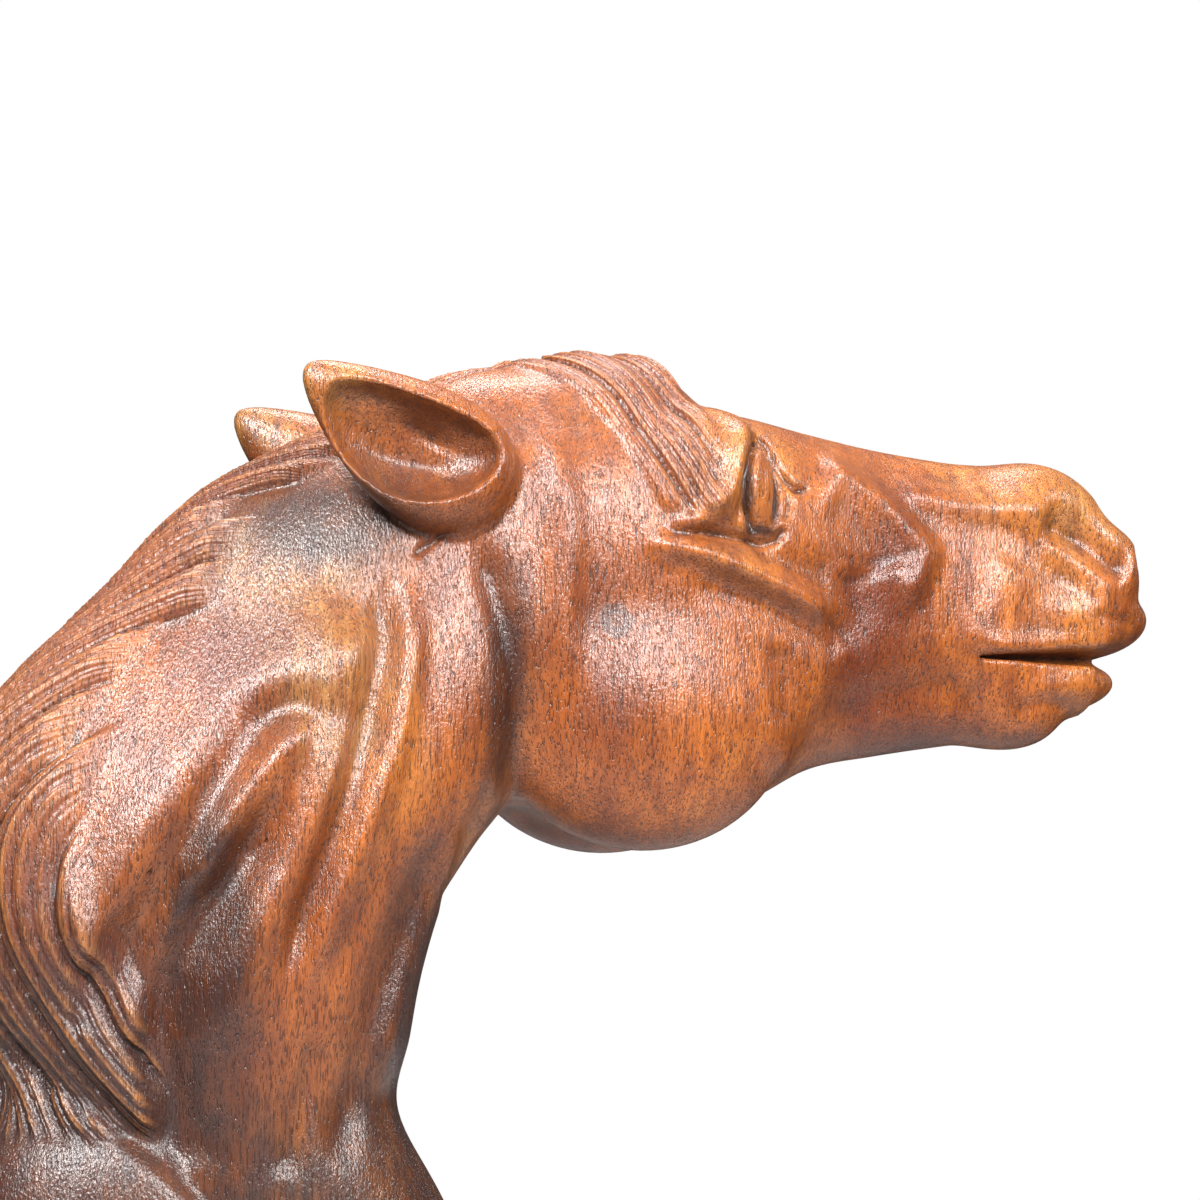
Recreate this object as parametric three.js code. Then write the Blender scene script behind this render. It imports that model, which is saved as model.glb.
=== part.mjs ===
// A carved wooden horse head: head, mane, neck and low base are one piece of timber, cut flat below.
// The carving is written as distance functions in thousandths of the sculpture's height, then meshed.
// +X points the way the muzzle points, +Z is up, and the origin is the centre of the flat underside.
import * as THREE from "three";

// Driving size
const HEIGHT = 300; // mm, from the flat underside to the top of the forelock
const UNIT = HEIGHT / 1000; // mm in one carving unit

// Finish
const WOOD = { color: 0x9a4f24, roughness: 0.38, metalness: 0 };

// Meshing, in carving units
const CELL = 7.5; // grid step
const NEAREST = 0.25; // the nearest that the surface comes to a point of the grid
const LOW = [-340, -235, -40]; // lowest corner of the grid
const HIGH = [1000, 235, 1040]; // highest corner
const MOST_TRIANGLES = 9600;
const SMALLEST = 2; // least area of a triangle, doubled

// The neck: each row joins a point on the crest to a point on the throat
const NECK = [
  // crest x, crest z, throat x, throat z, half width, narrowing towards the crest, reach of the mane
  [-80, -90, 300, -90, 150, 0.0, 0],
  [-110, 40, 262, 30, 140, 0.0, 0],
  [-150, 150, 192, 165, 132, 0.05, 60],
  [-200, 248, 147, 250, 130, 0.1, 120],
  [-243, 340, 158, 318, 135, 0.15, 130],
  [-276, 429, 170, 386, 140, 0.2, 120],
  [-282, 516, 190, 450, 143, 0.25, 108],
  [-255, 588, 222, 500, 143, 0.28, 98],
  [-198, 660, 258, 545, 139, 0.3, 92],
  [-124, 733, 288, 600, 133, 0.3, 80],
  [-43, 821, 322, 656, 124, 0.25, 60],
  [51, 878, 345, 716, 112, 0.15, 50],
  [150, 915, 362, 765, 98, 0.1, 42],
];

// The head: each row is a section across it
const HEAD = [
  // x, top z, bottom z, half width, widening towards the top
  [90, 850, 680, 70, 0.0],
  [180, 916, 610, 104, 0.05],
  [260, 942, 550, 118, 0.1],
  [340, 952, 518, 124, 0.15],
  [420, 944, 512, 126, 0.18],
  [500, 936, 538, 116, 0.15],
  [580, 922, 578, 96, 0.08],
  [660, 910, 594, 80, 0.0],
  [740, 902, 606, 72, 0.0],
  [820, 898, 616, 68, 0.0],
  [890, 870, 640, 62, 0.0],
];

// Rounded masses. Those with y above 0 stand on both sides.
// at: centre; size: half lengths; turn: roll, pitch and yaw in degrees; taper: how far its end shrinks;
// bend: how far the middle bows; soft: how widely it flows into the rest
const MASSES = [
  { name: "base", at: [5, 0, -10], size: [262, 188, 124], soft: 70 },
  { name: "shoulder", at: [-92, 0, 120], size: [196, 132, 212], turn: [0, -14, 0], soft: 26 },
  { name: "cheek", at: [382, 58, 634], size: [158, 78, 140], soft: 16 },
  { name: "brow", at: [446, 92, 864], size: [52, 44, 66], turn: [0, 18, 0], soft: 26 },
  { name: "ear root", at: [178, 74, 852], size: [60, 46, 50], soft: 30 },
  { name: "nose end", at: [846, 28, 848], size: [64, 42, 50], turn: [0, -24, 0], soft: 28 },
  { name: "nostril", at: [899, 42, 797], size: [53, 36, 46], turn: [0, -34, 0], soft: 20 },
  { name: "upper lip", at: [878, 0, 742], size: [95, 74, 44], soft: 20 },
  { name: "lower lip", at: [842, 0, 668], size: [92, 60, 31], turn: [0, 5, 0], soft: 12 },
  { name: "chin", at: [806, 0, 640], size: [58, 46, 34], turn: [0, -6, 0], soft: 22 },
  { name: "forelock", at: [350, 0, 926], size: [107, 90, 60], turn: [0, 2, 0], soft: 22 },
  { name: "poll", at: [250, 0, 914], size: [110, 78, 58], soft: 30 },
];

const EAR = {
  at: [121, 128, 883],
  size: [116, 36, 62],
  turn: [0, 153, 6],
  taper: 0.42,
  bend: 10,
  soft: 14,
};
const EAR_CUP = { at: [120, 158, 884], size: [92, 50, 49], turn: [0, 163, 5], bend: 20, soft: 3 };
const EYEBALL = { at: [486, 100, 850], size: [21, 28, 45], soft: 2 };
const NOSTRIL_HOLE = { at: [940, 50, 796], size: [32, 17, 22], turn: [0, -30, -14], soft: 8 };
const MOUTH = { at: [872, 62, 697], size: [126, 30, 8], turn: [0, 1, 0], taper: -0.6, soft: 5 };

// Carved ridges and grooves, drawn on the side of the sculpture.
// path: points x, z; height: above 0 a ridge, below 0 a groove; width: spread left and right of the path
const CARVING = [
  {
    name: "facial crest",
    path: [[350, 788], [418, 777], [483, 757], [530, 742], [572, 722]],
    height: 17,
    width: [10, 20],
  },
  { name: "under the eye", path: [[440, 792], [500, 776], [575, 768]], height: -8, width: [18, 18] },
  { name: "cheek hollow", path: [[575, 700], [600, 735], [590, 780]], height: -5, width: [22, 22] },
  {
    name: "plate",
    path: [[585, 878], [640, 848], [692, 797], [672, 764], [620, 728]],
    height: 11,
    width: [9, 60],
  },
  {
    name: "jaw edge",
    path: [[566, 740], [560, 690], [550, 643], [533, 603], [500, 560]],
    height: 9,
    width: [12, 60],
  },
  {
    name: "behind the jaw",
    path: [[191, 790], [216, 709], [234, 634], [228, 530]],
    height: -9,
    width: [18, 14],
  },
  {
    name: "temple",
    path: [[262, 940], [277, 856], [283, 789], [278, 721], [288, 625]],
    height: 7,
    width: [18, 18],
  },
  {
    name: "back lid",
    path: [[464, 790], [452, 826], [450, 860], [462, 892], [488, 914], [514, 904]],
    height: 13,
    width: [9, 8],
  },
  {
    name: "front lid",
    path: [[458, 806], [484, 790], [508, 802], [519, 830], [520, 860], [508, 888]],
    height: 9,
    width: [7, 10],
  },
  {
    name: "eye groove",
    path: [
      [494, 806], [476, 806], [465, 830], [465, 856], [474, 884],
      [490, 898], [503, 880], [507, 850], [503, 822], [490, 804],
    ],
    height: -11,
    width: [5, 5],
  },
  {
    name: "behind the lid",
    path: [[446, 800], [436, 830], [436, 864], [450, 898], [474, 922]],
    height: -8,
    width: [6, 6],
  },
  {
    name: "brow",
    path: [[376, 800], [410, 824], [424, 862], [440, 900], [462, 926]],
    height: 9,
    width: [16, 10],
  },
  { name: "below the brow", path: [[366, 790], [412, 795], [452, 790]], height: -8, width: [8, 6] },
  { name: "front corner", path: [[510, 850], [528, 847], [546, 850]], height: -7, width: [5, 5] },
  {
    name: "nose ridge",
    path: [[640, 868], [722, 853], [790, 850], [830, 842]],
    height: 8,
    width: [18, 18],
  },
  {
    name: "nostril",
    path: [[838, 840], [866, 816], [892, 794], [916, 788]],
    height: -14,
    width: [15, 11],
  },
  {
    name: "nostril wing",
    path: [[815, 838], [844, 806], [876, 776], [910, 768]],
    height: 6,
    width: [12, 14],
  },
  { name: "lip pad", path: [[790, 800], [765, 745], [748, 695]], height: 5, width: [40, 22] },
  {
    name: "lip edge",
    path: [[735, 704], [813, 708], [883, 712], [930, 716]],
    height: 5,
    width: [12, 7],
  },
  {
    name: "jaw hollow",
    path: [[560, 622], [649, 656], [716, 668], [770, 648]],
    height: -6,
    width: [22, 22],
  },
  { name: "ear fold", path: [[135, 806], [175, 796], [214, 816]], height: 9, width: [9, 8] },
  {
    name: "neck ridge A",
    path: [[90, 720], [46, 662], [-11, 600], [-84, 518], [-154, 430], [-190, 350]],
    height: 18,
    width: [34, 52],
  },
  {
    name: "neck groove A",
    path: [[40, 650], [-18, 600], [-61, 540], [-98, 480], [-135, 400], [-150, 320]],
    height: -21,
    width: [20, 24],
  },
  {
    name: "neck ridge B",
    path: [[28, 620], [-14, 568], [-55, 505], [-80, 440]],
    height: 11,
    width: [18, 20],
  },
  {
    name: "neck groove B",
    path: [[6, 560], [-26, 490], [-62, 440], [-91, 385], [-104, 321], [-82, 245], [-30, 170]],
    height: -20,
    width: [24, 22],
  },
  {
    name: "neck ridge C",
    path: [[62, 620], [36, 540], [-2, 460], [-28, 380], [-40, 300]],
    height: 12,
    width: [22, 26],
  },
  {
    name: "vein groove",
    path: [[104, 775], [98, 680], [80, 600], [52, 520], [24, 440], [4, 360]],
    height: -12,
    width: [13, 13],
  },
  {
    name: "vein ridge",
    path: [[128, 750], [122, 670], [106, 590], [78, 510], [46, 430], [22, 350]],
    height: 11,
    width: [15, 14],
  },
  {
    name: "throat groove",
    path: [[160, 520], [128, 440], [98, 360], [72, 270], [60, 190]],
    height: -9,
    width: [20, 18],
  },
  {
    name: "throat ridge",
    path: [[186, 520], [160, 440], [128, 350], [104, 260]],
    height: 6,
    width: [18, 18],
  },
  {
    name: "foot of the neck",
    path: [[-245, 340], [-190, 285], [-133, 243], [-92, 211], [-50, 168], [10, 110]],
    height: -10,
    width: [16, 12],
  },
];

// Locks of hair: width of a lock, height above the skin, and how unevenly the locks end
const MANE = { lock: 38, height: 19, uneven: 40, from: 2.7, round: 118, sweep: 7, level: 5.3 };
const FORELOCK = {
  lock: 27,
  height: 14,
  uneven: 40,
  pivot: [286, 850], // x, z that the locks curve round
  round: 230,
  from: 150, // x where it begins at the poll
  reach: 158, // from the pivot to its front edge
  inner: 0.68, // angle out from the pivot of its lower edge
  tip: 828, // z of the middle of its tips
};

// Value at t of a smooth curve through the rows, where whole numbers are the rows
function alongRows(rows, t) {
  const last = rows.length - 1;
  const i = Math.min(Math.max(Math.floor(t), 0), last - 1);
  const f = Math.min(Math.max(t - i, 0), 1);
  const [a, b, c, d] = [i - 1, i, i + 1, i + 2].map((k) => rows[Math.min(Math.max(k, 0), last)]);
  return b.map((_, k) => {
    const v0 = (c[k] - a[k]) / 2;
    const v1 = (d[k] - b[k]) / 2;
    return (
      (2 * b[k] - 2 * c[k] + v0 + v1) * f ** 3 +
      (-3 * b[k] + 3 * c[k] - 2 * v0 - v1) * f ** 2 +
      v0 * f +
      b[k]
    );
  });
}

const clamp = (v, low, high) => Math.min(Math.max(v, low), high);
const smoothstep = (a, b, v) => {
  const f = clamp((v - a) / (b - a), 0, 1);
  return f * f * (3 - 2 * f);
};

// Union and cut that flow into each other over a distance of about k
function join(a, b, k) {
  const h = Math.max(k - Math.abs(a - b), 0) / k;
  return Math.min(a, b) - (h * h * k) / 4;
}
const cut = (a, b, k) => -join(-a, b, k);

// Distance to an oval section: u runs from -1 to 1 over a height of 2h, and y is across a half width w
function oval(u, y, h, w, power) {
  const a = Math.abs(u);
  const b = Math.abs(y) / w;
  const r = Math.max((a ** power + b ** power) ** (1 / power), 1e-3);
  const slope = Math.hypot((a / r) ** (power - 1) / h, (b / r) ** (power - 1) / w);
  return (r - 1) / slope;
}

// The row of the neck that passes through x, z, found by halving
function neckPlace(x, z) {
  let low = 0;
  let high = NECK.length - 1;
  const side = (t) => {
    const [cx, cz, tx, tz] = alongRows(NECK, t);
    return (tx - cx) * (z - cz) - (tz - cz) * (x - cx);
  };
  for (let k = 0; k < 14; k++) {
    const middle = (low + high) / 2;
    if (side(middle) > 0) low = middle;
    else high = middle;
  }
  const t = (low + high) / 2;
  const [cx, cz, tx, tz, width, narrow, reach] = alongRows(NECK, t);
  const length = Math.hypot(tx - cx, tz - cz);
  const u = ((x - cx) * (tx - cx) + (z - cz) * (tz - cz)) / length ** 2;
  const ends = t < 0.01 || t > NECK.length - 1.01;
  const beyond = ends ? Math.abs(side(t)) / length : 0;
  const narrowed = width * (1 + narrow * clamp(2 * u - 1, -1, 1));
  return { t, u: 2 * u - 1, half: length / 2, width: narrowed, mane: reach, beyond };
}

function headPlace(x, z) {
  const xs = HEAD.map((row) => row[0]);
  const place = clamp(x, xs[0], xs[xs.length - 1]);
  let i = xs.findIndex((v) => v > place) - 1;
  if (i < 0) i = xs.length - 2;
  const t = i + (place - xs[i]) / (xs[i + 1] - xs[i]);
  const [, top, bottom, width, widen] = alongRows(HEAD, t);
  const half = (top - bottom) / 2;
  const u = (z - (top + bottom) / 2) / half;
  return { t, u, half, width: width * (1 + widen * clamp(u, -1, 1)), beyond: Math.abs(x - place) };
}

// Turns a mass's angles into the rows of its rotation
function framed(mass) {
  const [roll, pitch, yaw] = (mass.turn ?? [0, 0, 0]).map(THREE.MathUtils.degToRad);
  const turn = new THREE.Euler(roll, -pitch, yaw, "YZX");
  const e = new THREE.Matrix4().makeRotationFromEuler(turn).elements;
  return { taper: 0, bend: 0, ...mass, axes: [e.slice(0, 3), e.slice(4, 7), e.slice(8, 11)] };
}

// Distance to a mass
function egg(mass, x, y, z) {
  const px = x - mass.at[0];
  const py = (mass.at[1] > 0 ? Math.abs(y) : y) - mass.at[1];
  const pz = z - mass.at[2];
  const [i, j, k] = mass.axes;
  const along = i[0] * px + i[1] * py + i[2] * pz;
  const across = j[0] * px + j[1] * py + j[2] * pz;
  const up = k[0] * px + k[1] * py + k[2] * pz;
  const q = along / mass.size[0];
  const s = clamp(1 - mass.taper * q, 0.15, 2);
  const bowed = up - mass.bend * (1 - q * q);
  const [a, b, c] = [mass.size[0], mass.size[1] * s, mass.size[2] * s];
  const r = Math.hypot(q, across / b, bowed / c);
  const slope = Math.hypot(along / a ** 2, across / b ** 2, bowed / c ** 2);
  return r < 0.05 ? -Math.min(a, b, c) : (r * (r - 1)) / slope;
}

// Height of the carved ridges and grooves at x, z
function carving(x, z) {
  let total = 0;
  for (const { path, height, width } of CARVING) {
    let best = Infinity;
    let signed = 0;
    let share = 0;
    for (let i = 0; i + 1 < path.length; i++) {
      const [[ax, az], [bx, bz]] = [path[i], path[i + 1]];
      const [dx, dz] = [bx - ax, bz - az];
      const f = clamp(((x - ax) * dx + (z - az) * dz) / (dx * dx + dz * dz), 0, 1);
      const [ex, ez] = [x - ax - f * dx, z - az - f * dz];
      const d = Math.hypot(ex, ez);
      if (d < best) {
        best = d;
        signed = Math.sign(dx * ez - dz * ex) * d;
        share = (i + f) / (path.length - 1);
      }
    }
    const spread = signed > 0 ? width[0] : width[1];
    const fade = smoothstep(0, 0.18, share) * smoothstep(1, 0.82, share);
    total += height * Math.exp(-((best / spread) ** 2)) * fade;
  }
  return total;
}

// A lasting pseudo-random number from 0 to 1 for each lock
const chance = (i) => {
  const v = Math.sin(i * 12.9898 + 4.1) * 43758.5453;
  return v - Math.floor(v);
};

// Round top of a lock across its width, with a sharp groove on each side
const lockTop = (place) => 0.35 + 0.65 * Math.abs(Math.sin(Math.PI * place)) ** 0.8;

// Height of the mane, whose locks sweep over the crest of the neck
function mane(neck, y) {
  const around = Math.atan2(Math.abs(y) / neck.width, -neck.u) * MANE.round;
  if (neck.t < MANE.from || around > 200) return 0;
  const place = (-Math.sign(y) * around - MANE.sweep * (neck.t - MANE.level) ** 2) / MANE.lock;
  const edge = neck.mane + MANE.uneven * (chance(Math.floor(place)) - 0.5);
  const raised = smoothstep(edge + 7, edge - 7, around) * smoothstep(MANE.from, MANE.from + 0.3, neck.t);
  return MANE.height * raised * lockTop(place);
}

// Height of the forelock, whose locks run forward from the poll and curve down over the temples
function forelock(x, y, z) {
  const { pivot, inner, reach } = FORELOCK;
  const away = Math.hypot(x - pivot[0], z - pivot[1]);
  const turn = Math.atan2(away, Math.abs(y));
  if (turn < inner - 0.03 || z < FORELOCK.tip - 40) return 0;
  const place = (turn * FORELOCK.round) / FORELOCK.lock;
  const tip = FORELOCK.tip + FORELOCK.uneven * (chance(Math.floor(place) + 40) - 0.5);
  const hanging = smoothstep(tip - 8, tip + 8, z) * smoothstep(inner - 0.03, inner + 0.03, turn);
  const begun = smoothstep(FORELOCK.from - 12, FORELOCK.from + 12, x);
  const ended = smoothstep(reach + 14, reach - 14, away);
  return FORELOCK.height * hanging * begun * ended * lockTop(place);
}

const masses = MASSES.map(framed);
const [ear, earCup] = [EAR, EAR_CUP].map(framed);
const eyeball = framed(EYEBALL);
const hollows = [NOSTRIL_HOLE, MOUTH].map(framed);

// All that is the same right across the sculpture at x, z
function sideView(x, z) {
  return { neck: neckPlace(x, z), head: headPlace(x, z), relief: carving(x, z) };
}

// Distance to the whole sculpture
function sculpture(side, x, y, z) {
  const { neck, head, relief } = side;
  const neckTop = oval(neck.u, y, neck.half, neck.width, 2.2);
  const headTop = oval(head.u, y, head.half, head.width, 2.4);
  let d = neck.beyond > 0 ? Math.hypot(Math.max(neckTop, 0), neck.beyond) : neckTop - mane(neck, y);
  const h = head.beyond > 0 ? Math.hypot(Math.max(headTop, 0), head.beyond) : headTop;
  d = join(d, h, 34);
  for (const mass of masses) d = join(d, egg(mass, x, y, z), mass.soft);
  d -= relief * smoothstep(12, 40, Math.abs(y)) + forelock(x, y, z);
  d = join(d, egg(ear, x, y, z), ear.soft);
  d = cut(d, egg(earCup, x, y, z), earCup.soft);
  d = join(d, egg(eyeball, x, y, z), eyeball.soft);
  for (const hollow of hollows) d = cut(d, egg(hollow, x, y, z), hollow.soft);
  return Math.max(d, -z);
}

// Fills the weakest gap wherever solid touches solid only at an edge or a corner, so that the surface
// never meets itself
function untangle(field, n, at) {
  const [x, y, z] = [at(1, 0, 0), at(0, 1, 0), at(0, 0, 1)];
  const squares = [
    [0, x, y, x + y],
    [0, x, z, x + z],
    [0, y, z, y + z],
  ];
  const diagonals = [
    [0, x + y + z],
    [x, y + z],
    [y, x + z],
    [z, x + y],
  ];
  const cube = diagonals.flat();
  const fillWeakest = (places) => {
    const open = places.filter((v) => field[v] >= 0);
    field[open.reduce((a, b) => (field[b] < field[a] ? b : a))] = -CELL / 8;
  };
  const end = field.length - x - y - z;
  for (let changed = true; changed; ) {
    changed = false;
    for (let v = 0; v < end; v++) {
      for (const square of squares) {
        const [a, b, c, d] = square.map((step) => field[v + step] < 0);
        if (a !== d || b !== c || a === b) continue;
        fillWeakest(square.map((step) => v + step));
        changed = true;
      }
      const solid = cube.filter((step) => field[v + step] < 0);
      if (solid.length !== 2 && solid.length !== 6) continue;
      const alone = cube.filter((step) => field[v + step] < 0 === (solid.length === 2));
      if (!diagonals.some((pair) => pair.every((step) => alone.includes(step)))) continue;
      fillWeakest(cube.map((step) => v + step));
      changed = true;
    }
  }
}

// Meshes the surface where the distance is 0, one point in each grid cell that it passes through
function mesh() {
  const n = LOW.map((v, k) => Math.ceil((HIGH[k] - v) / CELL) + 1);
  // The grid has a plane on z = 0, so that the underside is flat
  const origin = [LOW[0], LOW[1], Math.round(LOW[2] / CELL) * CELL - CELL / 2];
  const at = (i, j, k) => (i * n[2] + k) * n[1] + j;
  const field = new Float32Array(n[0] * n[1] * n[2]);
  for (let i = 0; i < n[0]; i++)
    for (let k = 0; k < n[2]; k++) {
      const [x, z] = [origin[0] + i * CELL, origin[2] + k * CELL];
      const side = sideView(x, z);
      for (let j = 0; j < n[1]; j++) {
        const d = sculpture(side, x, origin[1] + j * CELL, z);
        field[at(i, j, k)] = d < 0 ? Math.min(d, -NEAREST) : Math.max(d, NEAREST);
      }
    }
  untangle(field, n, at);
  const points = [];
  const cellPoint = new Int32Array(field.length).fill(-1);
  const corners = [0, 1, 2, 3, 4, 5, 6, 7].map((c) => [c & 1, (c >> 1) & 1, (c >> 2) & 1]);
  const edges = [];
  corners.forEach((a, p) =>
    corners.forEach((b, q) => {
      const apart = a.reduce((sum, v, m) => sum + Math.abs(v - b[m]), 0);
      if (q > p && apart === 1) edges.push([p, q]);
    }),
  );
  for (let i = 0; i + 1 < n[0]; i++)
    for (let k = 0; k + 1 < n[2]; k++)
      for (let j = 0; j + 1 < n[1]; j++) {
        const values = corners.map(([a, b, c]) => field[at(i + a, j + b, k + c)]);
        const inside = values.filter((v) => v < 0).length;
        if (inside === 0 || inside === 8) continue;
        const sum = [0, 0, 0];
        let count = 0;
        for (const [p, q] of edges) {
          if (values[p] < 0 === values[q] < 0) continue;
          const f = values[p] / (values[p] - values[q]);
          for (let m = 0; m < 3; m++) sum[m] += corners[p][m] + f * (corners[q][m] - corners[p][m]);
          count++;
        }
        cellPoint[at(i, j, k)] = points.length;
        points.push([i, j, k].map((v, m) => origin[m] + (v + sum[m] / count) * CELL));
      }
  const faces = [];
  const quad = (a, b, c, d, flip) => {
    const [p, q, r, s] = [a, b, c, d].map((v) => cellPoint[v]);
    if (flip) faces.push([p, r, q], [p, s, r]);
    else faces.push([p, q, r], [p, r, s]);
  };
  for (let i = 1; i + 1 < n[0]; i++)
    for (let k = 1; k + 1 < n[2]; k++)
      for (let j = 1; j + 1 < n[1]; j++) {
        const here = field[at(i, j, k)] < 0;
        if (here !== field[at(i + 1, j, k)] < 0)
          quad(at(i, j - 1, k - 1), at(i, j, k - 1), at(i, j, k), at(i, j - 1, k), !here);
        if (here !== field[at(i, j + 1, k)] < 0)
          quad(at(i - 1, j, k - 1), at(i, j, k - 1), at(i, j, k), at(i - 1, j, k), here);
        if (here !== field[at(i, j, k + 1)] < 0)
          quad(at(i - 1, j - 1, k), at(i, j - 1, k), at(i, j, k), at(i - 1, j, k), !here);
      }
  return { points, faces };
}

// The faces that are joined to the first point, without any loose crumb
function mainShell(points, faces) {
  const around = points.map(() => []);
  faces.forEach((face) => face.forEach((v) => around[v].push(face)));
  const joined = new Set([0]);
  for (const v of joined) for (const face of around[v]) for (const w of face) joined.add(w);
  return faces.filter((face) => joined.has(face[0]));
}

// Sum of the squared distances to the planes of the faces round a point, as ten numbers of a matrix
function planeSum(points, faces) {
  const sums = points.map(() => new Float64Array(10));
  for (const face of faces) {
    const [a, b, c] = face.map((v) => new THREE.Vector3(...points[v]));
    const plane = new THREE.Plane().setFromCoplanarPoints(a, b, c);
    const area = b.sub(a).cross(c.sub(a)).length() / 2;
    const { x, y, z } = plane.normal;
    const w = plane.constant;
    const terms = [x * x, x * y, x * z, x * w, y * y, y * z, y * w, z * z, z * w, w * w];
    for (const v of face) terms.forEach((term, k) => (sums[v][k] += term * area));
  }
  return sums;
}

// Value of such a sum at a point
function planeError(q, [x, y, z]) {
  const a = q[0] * x * x + q[4] * y * y + q[7] * z * z + q[9];
  return a + 2 * (q[1] * x * y + q[2] * x * z + q[5] * y * z + q[3] * x + q[6] * y + q[8] * z);
}

// The place near a and b where their common sum is least
function bestPlace(q, a, b) {
  const middle = a.map((v, k) => (v + b[k]) / 2);
  const m = new THREE.Matrix3().set(q[0], q[1], q[2], q[1], q[4], q[5], q[2], q[5], q[7]);
  const size = q[0] + q[4] + q[7];
  if (Math.abs(m.determinant()) > 1e-4 * size ** 3) {
    const found = new THREE.Vector3(-q[3], -q[6], -q[8]).applyMatrix3(m.invert()).toArray();
    if (Math.hypot(...found.map((v, k) => v - middle[k])) < 3 * CELL) return found;
  }
  const tries = [a, b, middle].map((place) => [planeError(q, place), place]);
  return tries.reduce((least, next) => (next[0] < least[0] ? next : least))[1];
}

// Draws neighbouring points together where the surface is flattest, until few enough faces are left
function simplify(points, faces, most) {
  const sums = planeSum(points, faces);
  const around = points.map(() => new Set());
  faces.forEach((face, i) => face.forEach((v) => around[v].add(i)));
  const onFloor = points.map((p) => Math.abs(p[2]) < 1e-6);
  const neighbours = (v) => new Set([...around[v]].flatMap((i) => faces[i]).filter((w) => w !== v));
  const normal = (corners) => {
    const [a, b, c] = corners;
    const [u, w] = [b, c].map((p) => p.map((v, k) => v - a[k]));
    return [u[1] * w[2] - u[2] * w[1], u[2] * w[0] - u[0] * w[2], u[0] * w[1] - u[1] * w[0]];
  };
  // Whether a face of v would fold over if v moved to a place
  const folds = (v, other, place) =>
    [...around[v]].some((i) => {
      if (faces[i].includes(other)) return false;
      const before = normal(faces[i].map((w) => points[w]));
      const after = normal(faces[i].map((w) => (w === v ? place : points[w])));
      const dot = before[0] * after[0] + before[1] * after[1] + before[2] * after[2];
      const size = Math.hypot(...after);
      return size < SMALLEST || dot < 0.35 * Math.hypot(...before) * size;
    });
  let left = faces.length;
  while (left > most) {
    const edges = [];
    faces.forEach((face) => {
      if (!face) return;
      face.forEach((a, k) => {
        const b = face[(k + 1) % 3];
        if (a > b || onFloor[a] !== onFloor[b]) return;
        const sum = sums[a].map((v, m) => v + sums[b][m]);
        const place = bestPlace(sum, points[a], points[b]);
        if (onFloor[a]) place[2] = 0;
        const length = Math.hypot(...points[a].map((v, m) => v - points[b][m]));
        edges.push({ a, b, sum, place, cost: planeError(sum, place) + 1e-3 * length ** 2 });
      });
    });
    edges.sort((p, q) => p.cost - q.cost);
    const settled = new Set();
    const stop = Math.max(most, left * 0.8);
    const before = left;
    for (const { a, b, sum, place } of edges) {
      if (left <= stop) break;
      if (settled.has(a) || settled.has(b)) continue;
      const [nearA, nearB] = [neighbours(a), neighbours(b)];
      if ([...nearA].filter((v) => nearB.has(v)).length !== 2) continue;
      if (folds(a, b, place) || folds(b, a, place)) continue;
      points[a] = place;
      sums[a] = sum;
      for (const i of around[b]) {
        if (faces[i].includes(a)) {
          faces[i].forEach((v) => around[v].delete(i));
          faces[i] = null;
          left--;
        } else {
          faces[i] = faces[i].map((v) => (v === b ? a : v));
          around[a].add(i);
        }
      }
      around[b].clear();
      for (const v of [a, b, ...nearA, ...nearB]) settled.add(v);
    }
    if (left === before) break;
  }
  const kept = points.map((_, v) => v).filter((v) => around[v].size > 0);
  const place = new Map(kept.map((v, i) => [v, i]));
  return {
    points: kept.map((v) => points[v]),
    faces: faces.filter((face) => face).map((face) => face.map((v) => place.get(v))),
  };
}

const fine = mesh();
const { points, faces } = simplify(fine.points, mainShell(fine.points, fine.faces), MOST_TRIANGLES);
const geometry = new THREE.BufferGeometry();
geometry.setAttribute(
  "position",
  new THREE.Float32BufferAttribute(points.flatMap((p) => p.map((v) => v * UNIT)), 3),
);
geometry.setIndex(faces.flat());
geometry.computeVertexNormals();

const horse = new THREE.Mesh(geometry, new THREE.MeshStandardMaterial(WOOD));
horse.name = "horse_head";

const part = new THREE.Group();
part.add(horse);

export default part;
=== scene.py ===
import math

import bpy
import numpy as np
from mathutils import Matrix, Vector


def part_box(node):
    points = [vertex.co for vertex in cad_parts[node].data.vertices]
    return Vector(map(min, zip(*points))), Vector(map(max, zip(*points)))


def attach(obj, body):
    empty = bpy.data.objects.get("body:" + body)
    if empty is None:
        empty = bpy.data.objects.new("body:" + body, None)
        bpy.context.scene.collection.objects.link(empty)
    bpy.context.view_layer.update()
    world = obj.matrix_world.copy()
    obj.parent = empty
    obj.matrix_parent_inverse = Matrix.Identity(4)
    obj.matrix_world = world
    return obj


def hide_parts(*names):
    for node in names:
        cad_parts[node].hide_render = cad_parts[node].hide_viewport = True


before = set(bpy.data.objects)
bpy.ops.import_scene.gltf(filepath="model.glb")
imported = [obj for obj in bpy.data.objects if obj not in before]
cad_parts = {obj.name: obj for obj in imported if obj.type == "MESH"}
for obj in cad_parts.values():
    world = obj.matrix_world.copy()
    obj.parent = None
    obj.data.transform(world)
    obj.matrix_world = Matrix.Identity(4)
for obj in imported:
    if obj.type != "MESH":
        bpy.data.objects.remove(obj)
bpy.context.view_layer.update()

TOP = 995.17  # carving units from the underside to the top of the forelock
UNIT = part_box("horse_head")[1].z / TOP  # metres in one carving unit

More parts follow.
